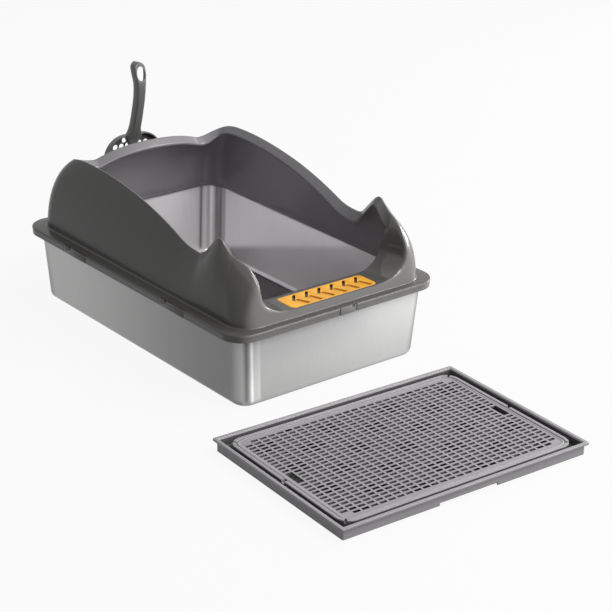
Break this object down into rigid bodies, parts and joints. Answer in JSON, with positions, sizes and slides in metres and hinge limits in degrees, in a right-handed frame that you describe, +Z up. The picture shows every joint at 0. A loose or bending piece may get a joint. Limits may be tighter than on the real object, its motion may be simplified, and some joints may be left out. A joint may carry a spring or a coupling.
{
  "type": "open-top litter box",
  "caption": "Rectangular steel litter pan with a high-sided plastic shield, a low front entry with a tread, snap clips, a scoop on a holder and a drain tray with a grate.",
  "frame": {"origin": "centre of the steel pan's flat underside, on the floor", "axes": "+Z up, +Y towards the back arch, -Y towards the low front entry, +X to the right when facing the back"},
  "size_m": [0.5044, 1.0254, 0.3751],
  "materials": {
    "pan_steel": "satin stainless steel",
    "shield_plastic": "fine moulded texture",
    "tread_plastic": "smooth moulded",
    "clip_plastic": "fine moulded texture",
    "scoop_plastic": "satin moulded",
    "holder_plastic": "satin moulded",
    "tray_plastic": "satin moulded",
    "grate_plastic": "satin moulded"
  },
  "bodies": {
    "pan": {"steel_pan": "pan_steel"},
    "upper": {"shield": "shield_plastic", "scoop_holder": "holder_plastic"},
    "tread": {"tread_insert": "tread_plastic"},
    "clip_front": {"front_clip": "clip_plastic"},
    "clip_back": {"back_clip": "clip_plastic"},
    "clip_left_front": {"left_front_clip": "clip_plastic"},
    "clip_left_back": {"left_back_clip": "clip_plastic"},
    "clip_right_front": {"right_front_clip": "clip_plastic"},
    "clip_right_back": {"right_back_clip": "clip_plastic"},
    "scoop": {"scoop": "scoop_plastic"},
    "tray": {"tray_base": "tray_plastic"},
    "grate": {"tray_grate": "grate_plastic"}
  },
  "joints": [
    {"name": "shield_lift", "type": "slide", "parent": "pan", "child": "upper", "axis": [0, 0, 1], "range_m": [0, 0.2]},
    {"name": "tread_lift", "type": "slide", "parent": "upper", "child": "tread", "axis": [0, 0, 1], "range_m": [0, 0.03]},
    {"name": "scoop_lift", "type": "slide", "parent": "upper", "child": "scoop", "axis": [0, 0, 1], "range_m": [0, 0.1]},
    {"name": "front_clip_flex", "type": "hinge", "parent": "upper", "child": "clip_front", "pos_m": [0.0125, -0.30075, 0.1293], "axis": [-1, 0, 0], "range_deg": [0, 12], "stiffness_Nm_per_rad": 0.05},
    {"name": "back_clip_flex", "type": "hinge", "parent": "upper", "child": "clip_back", "pos_m": [-0.07, 0.30075, 0.1293], "axis": [1, 0, 0], "range_deg": [0, 12], "stiffness_Nm_per_rad": 0.05},
    {"name": "left_front_clip_flex", "type": "hinge", "parent": "upper", "child": "clip_left_front", "pos_m": [-0.20075, -0.135, 0.1293], "axis": [0, 1, 0], "range_deg": [0, 12], "stiffness_Nm_per_rad": 0.05},
    {"name": "left_back_clip_flex", "type": "hinge", "parent": "upper", "child": "clip_left_back", "pos_m": [-0.20075, 0.141, 0.1293], "axis": [0, 1, 0], "range_deg": [0, 12], "stiffness_Nm_per_rad": 0.05},
    {"name": "right_front_clip_flex", "type": "hinge", "parent": "upper", "child": "clip_right_front", "pos_m": [0.20075, -0.135, 0.1293], "axis": [0, -1, 0], "range_deg": [0, 12], "stiffness_Nm_per_rad": 0.05},
    {"name": "right_back_clip_flex", "type": "hinge", "parent": "upper", "child": "clip_right_back", "pos_m": [0.20075, 0.141, 0.1293], "axis": [0, -1, 0], "range_deg": [0, 12], "stiffness_Nm_per_rad": 0.05},
    {"name": "tray_slide", "type": "slide", "parent": "pan", "child": "tray", "axis": [0, -1, 0], "range_m": [0, 0.15]},
    {"name": "grate_lift", "type": "slide", "parent": "tray", "child": "grate", "axis": [0, 0, 1], "range_m": [0, 0.05]}
  ]
}
